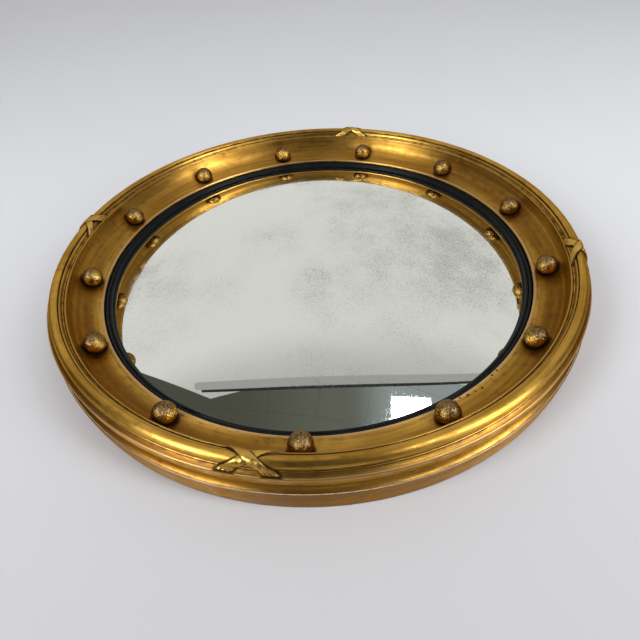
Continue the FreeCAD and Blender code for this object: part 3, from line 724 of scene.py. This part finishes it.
def plywood():
    ply = Finish("birch plywood")
    place = ply.place()
    flow = ply.grain(ply.scaled(place, (4.0, 1.2, 4.0)), 1.0, 3.0)
    figure = ply.node("TexNoise", {"Vector": ply.scaled(place, (26.0, 1.6, 26.0)), "Scale": 1.0,
                                   "Detail": 4.0, "Distortion": 0.6}, "Fac")
    rings = ply.calc("FRACT", ply.calc("MULTIPLY", ply.calc("ADD", figure, flow), 9.0))
    pores = ply.grain(ply.scaled(place, (1500.0, 50.0, 1500.0)), 1.0, 3.0, 0.7)
    stain = ply.grain(place, 9.0, 4.0)
    colour = ply.blend(ply.fade(rings, 0.5, 0.98, 0.0, 0.55), (0.47, 0.31, 0.17), (0.34, 0.205, 0.10))
    colour = ply.blend(ply.fade(pores, 0.5, 0.72, 0.0, 0.55), colour, (0.22, 0.125, 0.06))
    colour = ply.blend(ply.fade(stain, 0.4, 0.72, 0.0, 0.6), colour, (0.25, 0.165, 0.095))
    height = ply.node("SeparateXYZ", {0: place}, 2)
    layers = ply.calc("FRACT", ply.calc("MULTIPLY", height, 500.0))
    edge = ply.node("SeparateXYZ", {0: ply.node("NewGeometry", {}, "Normal")}, 2)
    side = ply.fade(ply.calc("ABSOLUTE", edge), 0.3, 0.7, 1.0, 0.0)
    layered = ply.calc("MULTIPLY", side, ply.fade(layers, 0.45, 0.55, 0.0, 0.7))
    colour = ply.blend(layered, colour, (0.16, 0.09, 0.045))
    relief = ply.bump(pores, 0.0001, 0.6)
    return ply.finish(Base_Color=colour, Roughness=ply.fade(pores, 0.3, 0.7, 0.6, 0.8), Normal=relief)


board.data.materials.append(plywood())
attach(board, "frame")
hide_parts("back_board")

# ---- Turn buttons ---------------------------------------------------------------------------
# Six stamped brass buttons screwed to the ledge behind the rebate. Each swings on its screw, over
# the board's edge to hold it in, or clear of it to let the board and glass out.
pivot_ring, button_low, button_thickness, button_half = 222.1, 2.3, 2.0, 6.0
button_inner, button_outer, pivot_hole = 206.1, 225.1, 1.8
brass = Finish("stamped brass")
brass_place = brass.place()
brass_tarnish = brass.grain(brass_place, 140.0, 5.0, 0.65)
brass_scratches = brass.grain(brass.scaled(brass_place, (2200.0, 260.0, 2200.0)), 1.0, 3.0)
brass_colour = brass.blend(brass.fade(brass_tarnish, 0.4, 0.68), (0.66, 0.47, 0.18), (0.27, 0.165, 0.06))
brass = brass.finish(Base_Color=brass_colour, Metallic=brass.fade(brass_tarnish, 0.4, 0.8, 0.98, 0.8),
                     Roughness=brass.fade(brass_tarnish, 0.3, 0.7, 0.28, 0.5),
                     Normal=brass.bump(brass_scratches, 0.00004, 0.6))

clear_selection()
bpy.ops.mesh.primitive_circle_add(vertices=56, radius=button_half * MM)
button = bpy.context.object
for vertex in button.data.vertices:
    vertex.co.x += (button_outer if vertex.co.x > -0.000001 else button_inner) * MM
    vertex.co.z = button_low * MM
bpy.ops.object.mode_set(mode="EDIT")
bpy.ops.mesh.primitive_circle_add(vertices=40, radius=pivot_hole * MM,
                                  location=(pivot_ring * MM, 0, button_low * MM))
bpy.ops.mesh.select_all(action="SELECT")
bpy.ops.mesh.fill()
bpy.ops.mesh.extrude_region_move(TRANSFORM_OT_translate={"value": (0, 0, button_thickness * MM)})
bpy.ops.mesh.select_all(action="SELECT")
bpy.ops.mesh.normals_make_consistent(inside=False)
round_edges(60, 0.25 * MM, 2)
bpy.ops.object.mode_set(mode="OBJECT")
bpy.ops.object.shade_smooth_by_angle(angle=math.radians(20))
button.data.materials.append(brass)
for index in range(6):
    twin = copy_of(button, "brass_button_%d" % (index + 1), index * math.radians(60))
    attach(twin, "turn_button_%d" % (index + 1))
    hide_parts("turn_button_%d" % (index + 1))
remove(button)

# The buttons' pivots are slotted steel screws, and shorter ones fix the hangers.
steel = Finish("dull steel")
steel_place = steel.place()
steel_rust = steel.grain(steel_place, 500.0, 5.0, 0.7)
steel = steel.finish(
    Base_Color=steel.blend(steel.fade(steel_rust, 0.48, 0.7), (0.42, 0.41, 0.385), (0.13, 0.075, 0.04)),
    Metallic=steel.fade(steel_rust, 0.5, 0.75, 1.0, 0.35),
    Roughness=steel.fade(steel_rust, 0.4, 0.7, 0.33, 0.65), Normal=steel.bump(steel_rust, 0.00008, 0.7))
for name in ("button_screws", "hanger_screws"):
    dress(name, steel)

# ---- Hangers --------------------------------------------------------------------------------
# Two brass-plated steel straps, each folded round the bar of a D ring and screwed to the ledge at
# sixty degrees from the top. The rings lie in on the board, or swing out to take a hook or wire.
plating = Finish("worn brass plating")
plating_place = plating.place()
plating_wear = plating.grain(plating_place, 320.0, 5.0, 0.65)
plating = plating.finish(
    Base_Color=plating.blend(plating.fade(plating_wear, 0.45, 0.65), (0.62, 0.46, 0.21), (0.30, 0.25, 0.19)),
    Metallic=1.0, Roughness=plating.fade(plating_wear, 0.3, 0.7, 0.25, 0.48),
    Normal=plating.bump(plating_wear, 0.00006, 0.5))
for name in ("hanger_strap_right", "hanger_strap_left", "hanger_ring_right", "hanger_ring_left"):
    dress(name, plating)

# ---- Table, backdrop, light and camera ------------------------------------------------------
# The mirror lies face up on a pale table, painted darker towards the camera. A paper sweep rises
# behind and over it to its roll, with a plain grey ceiling beyond and soft panels of light, which are
# what the glass and the gold show. The paper, the roll and the ceiling glow, their light and shade painted in.
seen_turn = Matrix.Rotation(math.radians(13), 4, "Z")
away_from_camera, to_the_right = (-0.225, 0.974, 0.0), (0.974, 0.225, 0.0)


def stage_piece(name, material):
    piece = bpy.context.object
    piece.name = name
    piece.data.materials.append(material)
    piece.data.transform(seen_turn)
    return piece


def glow(name, colour, strength):
    light = Finish(name)
    return light.finish(Base_Color=(0.0, 0.0, 0.0), Roughness=1.0, Specular_IOR_Level=0.0,
                        Emission_Color=colour, Emission_Strength=strength)


def light_panel(name, place, size, colour, strength):
    """A flat panel that faces the middle of the mirror."""
    clear_selection()
    bpy.ops.mesh.primitive_plane_add(size=1.0)
    panel = bpy.context.object
    facing = Vector((-place[0], -place[1], -place[2])).to_track_quat("Z", "Y").to_matrix().to_4x4()
    panel.data.transform(Matrix.Translation(place) @ facing @ Matrix.Diagonal((size[0], size[1], 1.0, 1.0)))
    stage_piece(name, glow(name, colour, strength))


table_paint = Finish("pale table")
table_place = table_paint.place()
# Painted shade: the table is coloured darker towards the camera and lighter away from it.
table_depth = table_paint.node("VectorMath", {0: table_place, 1: away_from_camera}, "Value",
                               operation="DOT_PRODUCT")
table_light_falloff = table_paint.blend(table_paint.fade(table_depth, -0.65, 0.30),
                               (0.335, 0.318, 0.322), (0.53, 0.527, 0.556))
table_mottle = table_paint.fade(table_paint.grain(table_place, 2.2, 2.0), 0.3, 0.7, 0.0, 0.08)
table_paint = table_paint.finish(
    Base_Color=table_paint.blend(table_mottle, table_light_falloff, (0.42, 0.42, 0.44)), Roughness=0.75)
clear_selection()
bpy.ops.mesh.primitive_plane_add(size=8.0)
stage_piece("table", table_paint)

sweep = draw_section("paper_sweep", (-130.0, 1420.0), [
    (400.0, 1400.0), (1500.0, 820.0, 200.0, 12), (1900.0, 0.0, 90.0, 8)])
edit(sweep)
bpy.ops.mesh.select_all(action="SELECT")
bpy.ops.transform.rotate(value=math.radians(-90), orient_axis="Z", center_override=(0, 0, 0))
bpy.ops.transform.translate(value=(-2.4, 0, 0))
bpy.ops.mesh.extrude_region_move(TRANSFORM_OT_translate={"value": (4.8, 0, 0)})
bpy.ops.mesh.select_all(action="SELECT")
bpy.ops.mesh.bisect(plane_co=(-1.24, 0.04, 1.4), plane_no=(-0.52, -0.85, 0.0), clear_outer=True)
bpy.ops.object.mode_set(mode="OBJECT")
# The paper glows, and its glow is painted darker towards its near edge by the roll, as painted shade.
lit_paper = Finish("lit paper")
paper_depth = lit_paper.node("VectorMath", {0: lit_paper.place(), 1: away_from_camera}, "Value",
                             operation="DOT_PRODUCT")
stage_piece("paper_sweep", lit_paper.finish(
    Base_Color=(0.0, 0.0, 0.0), Roughness=1.0, Specular_IOR_Level=0.0, Emission_Strength=0.78,
    Emission_Color=lit_paper.blend(lit_paper.fade(paper_depth, -0.16, 0.42),
                                   (0.70, 0.70, 0.66), (1.0, 1.0, 0.965))))


def long_roll(name, first, last, y, z, radius, material):
    """A roll that lies across the room from first to last, and sags back a little at its middle."""
    clear_selection()
    bpy.ops.mesh.primitive_circle_add(vertices=32, radius=radius, location=(first, 0, z),
                                      rotation=(0, math.radians(90), 0))
    bpy.ops.object.transform_apply(location=True, rotation=True)
    edit(bpy.context.object)
    bpy.ops.mesh.select_all(action="SELECT")
    lengths = 24
    for _ in range(lengths):
        bpy.ops.mesh.extrude_region_move(TRANSFORM_OT_translate={"value": ((last - first) / lengths, 0, 0)})
    bpy.ops.object.mode_set(mode="OBJECT")
    for vertex in bpy.context.object.data.vertices:
        vertex.co.y += y + 0.095 * (vertex.co.x - 0.24) ** 2
    bpy.ops.object.shade_smooth()
    stage_piece(name, material)


long_roll("paper_roll", -1.10, 2.4, -0.150, 1.415, 0.036, glow("shaded paper", (0.40, 0.395, 0.375), 1.0))
long_roll("roll_holder", -1.04, 2.4, -0.196, 1.415, 0.013, glow("dark holder", (0.03, 0.032, 0.03), 1.0))

ceiling_tiles = Finish("plain ceiling")
tile_place = ceiling_tiles.scaled(ceiling_tiles.place(), (1.9, 1.9, 1.0))
joints = None
for axis in (0, 1):
    cell = ceiling_tiles.calc("FRACT", ceiling_tiles.node("SeparateXYZ", {0: tile_place}, axis))
    joint = ceiling_tiles.calc("GREATER_THAN", cell, 0.985)
    joints = joint if joints is None else ceiling_tiles.calc("MAXIMUM", joints, joint)
# Painted light on the ceiling: its glow is brighter towards the right and dim to the left, with darker tile
# joints.
across = ceiling_tiles.node("VectorMath", {0: ceiling_tiles.place(), 1: to_the_right}, "Value",
                            operation="DOT_PRODUCT")
painted_ceiling_light = ceiling_tiles.blend(ceiling_tiles.fade(across, -1.1, 0.2),
                                   (0.080, 0.082, 0.062), (0.135, 0.14, 0.115))
painted_ceiling_light = ceiling_tiles.blend(ceiling_tiles.fade(across, 0.2, 0.75), painted_ceiling_light, (0.30, 0.34, 0.33))
painted_ceiling_light = ceiling_tiles.blend(ceiling_tiles.calc("MULTIPLY", joints, 0.3), painted_ceiling_light, (0.04, 0.04, 0.03))
ceiling_tiles.finish(Base_Color=(0.0, 0.0, 0.0), Roughness=1.0, Specular_IOR_Level=0.0,
                     Emission_Strength=1.0, Emission_Color=painted_ceiling_light)
clear_selection()
bpy.ops.mesh.primitive_plane_add(size=1.0, location=(0.0, -1.2, 2.0))
bpy.context.object.scale = (9.0, 7.0, 1.0)
bpy.ops.object.transform_apply(location=True, scale=True)
stage_piece("ceiling", ceiling_tiles.material)
clear_selection()
bpy.ops.mesh.primitive_plane_add(size=1.0, location=(0.93, -0.78, 1.99))
bpy.context.object.scale = (0.48, 0.9, 1.0)
bpy.ops.object.transform_apply(location=True, scale=True)
stage_piece("ceiling_light", glow("ceiling light", (1.0, 0.99, 0.96), 9.0))
light_panel("left_light", (-1.02, -0.92, 0.86), (0.56, 0.72), (0.95, 0.98, 1.0), 13.0)
light_panel("high_left_light", (-1.22, -0.66, 1.34), (0.5, 0.6), (0.95, 0.98, 1.0), 14.5)
light_panel("high_right_light", (1.22, -0.66, 1.34), (0.5, 0.6), (0.95, 0.98, 1.0), 14.5)
light_panel("right_light", (1.30, -0.78, 0.60), (0.50, 0.62), (0.95, 0.98, 1.0), 13.0)

world = bpy.data.worlds.new("room")
bpy.context.scene.world = world
world.use_nodes = True
world.node_tree.nodes["Background"].inputs["Color"].default_value = (0.07, 0.07, 0.08, 1.0)
world.node_tree.nodes["Background"].inputs["Strength"].default_value = 1.0

camera = bpy.data.objects.new("camera", bpy.data.cameras.new("camera"))
bpy.context.scene.collection.objects.link(camera)
bpy.context.scene.camera = camera
camera.data.lens = 28.315
camera.data.sensor_width = 36.0
camera.data.clip_start = 0.01
aim = Vector((0, 0, 0.03167))
height_angle, far = math.radians(36.463), 0.5029
position = aim + far * Vector((0, -math.cos(height_angle), math.sin(height_angle)))
ahead = (aim - position).normalized()
right = ahead.cross(Vector((0, 0, 1))).normalized()
above = right.cross(ahead)
ahead = (ahead + math.tan(math.radians(-0.0325)) * right + math.tan(math.radians(-7.7233)) * above).normalized()
right = ahead.cross(Vector((0, 0, 1))).normalized()
above = right.cross(ahead)
roll = math.radians(-4.3166)
right, above = (math.cos(roll) * right + math.sin(roll) * above, -math.sin(roll) * right + math.cos(roll) * above)
pose = Matrix((right, above, -ahead)).transposed().to_4x4()
camera.matrix_world = seen_turn @ Matrix.Translation(position) @ pose
bpy.context.scene.view_settings.view_transform = "Standard"
